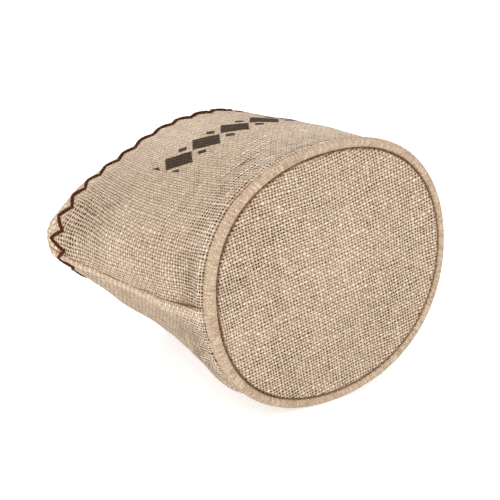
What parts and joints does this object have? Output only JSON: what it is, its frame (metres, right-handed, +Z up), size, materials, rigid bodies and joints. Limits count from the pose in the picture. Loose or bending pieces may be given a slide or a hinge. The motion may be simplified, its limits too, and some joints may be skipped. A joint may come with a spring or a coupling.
{
  "type": "garlic storage bag",
  "caption": "Short round-based cloth bag of open hessian weave, lying on its side with its mouth open; it holds garlic bulbs and lets them breathe.",
  "frame": {"origin": "centre of the bounding box in X and Y, on the floor plane", "axes": "+Z up as the bag lies, -Y out of the round base, +Y out of the mouth, +X to the right as the base is looked at"},
  "size_m": [0.2072, 0.16, 0.1746],
  "materials": {
    "front_cloth": "open natural-brown hessian with a dark zigzag stitch near the rim and a dark stencilled mark",
    "back_cloth": "open natural-brown hessian with a dark zigzag stitch near the rim",
    "base_cloth": "open natural-brown hessian",
    "piping_cloth": "close natural-brown hessian rolled over a cord"
  },
  "bodies": {
    "root": {"front_panel": "front_cloth", "back_panel": "back_cloth", "base_panel": "base_cloth", "base_piping": "piping_cloth"}
  },
  "joints": []
}
